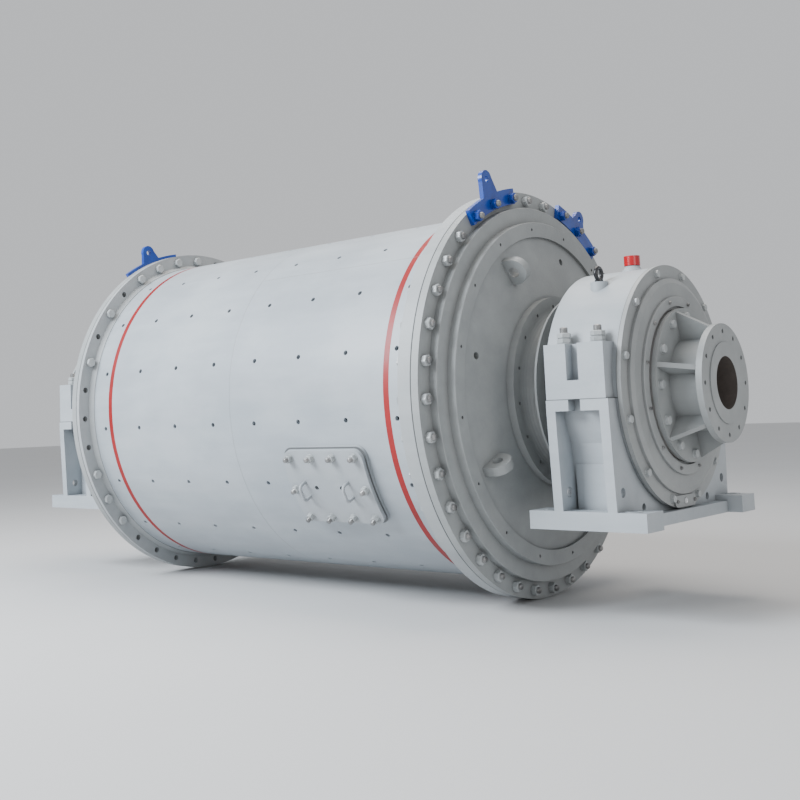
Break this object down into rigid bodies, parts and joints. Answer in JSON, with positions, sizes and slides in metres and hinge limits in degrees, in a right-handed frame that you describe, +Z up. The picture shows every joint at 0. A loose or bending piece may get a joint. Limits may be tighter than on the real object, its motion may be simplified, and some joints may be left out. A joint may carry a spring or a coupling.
{
  "type": "ball mill",
  "caption": "Horizontal grinding drum with bolted flanged heads and a curved manhole cover, turning on hollow trunnions in two split pedestal bearings.",
  "frame": {"origin": "middle of the underside of the feed-end bearing base", "axes": "+X along the mill axis towards the feed end, +Z up"},
  "size_m": [5.172, 2.3678, 2.4397],
  "materials": {
    "shell_paint": "light grey enamel with two red rings",
    "grey_paint": "light grey enamel",
    "blue_paint": "blue enamel",
    "red_cap": "gloss red",
    "black_steel": "black oxide"
  },
  "bodies": {
    "bearings": {"discharge_bearing_base": "grey_paint", "discharge_bearing_cap": "grey_paint", "discharge_bearing_pedestal": "grey_paint", "discharge_breather": "red_cap", "discharge_inner_cover": "grey_paint", "discharge_lifting_eyes": "black_steel", "discharge_outer_cover": "grey_paint", "discharge_sight_plate": "grey_paint", "feed_bearing_base": "grey_paint", "feed_bearing_cap": "grey_paint", "feed_bearing_pedestal": "grey_paint", "feed_breather": "red_cap", "feed_inner_cover": "grey_paint", "feed_lifting_eyes": "black_steel", "feed_outer_cover": "grey_paint", "feed_sight_plate": "grey_paint"},
    "drum": {"discharge_head": "grey_paint", "discharge_head_lugs": "grey_paint", "discharge_hub": "grey_paint", "discharge_lifting_brackets": "blue_paint", "discharge_shell_flange": "grey_paint", "discharge_trunnion": "grey_paint", "feed_head": "grey_paint", "feed_head_lugs": "grey_paint", "feed_hub": "grey_paint", "feed_lifting_brackets": "blue_paint", "feed_shell_flange": "grey_paint", "feed_trunnion": "grey_paint", "manhole_cover": "grey_paint", "manhole_handles": "grey_paint", "manhole_seat": "grey_paint", "shell": "shell_paint"}
  },
  "joints": [
    {"name": "drum_spin", "type": "hinge", "parent": "bearings", "child": "drum", "pos_m": [-2.108, 0, 0.715], "axis": [1, 0, 0], "continuous": true}
  ]
}
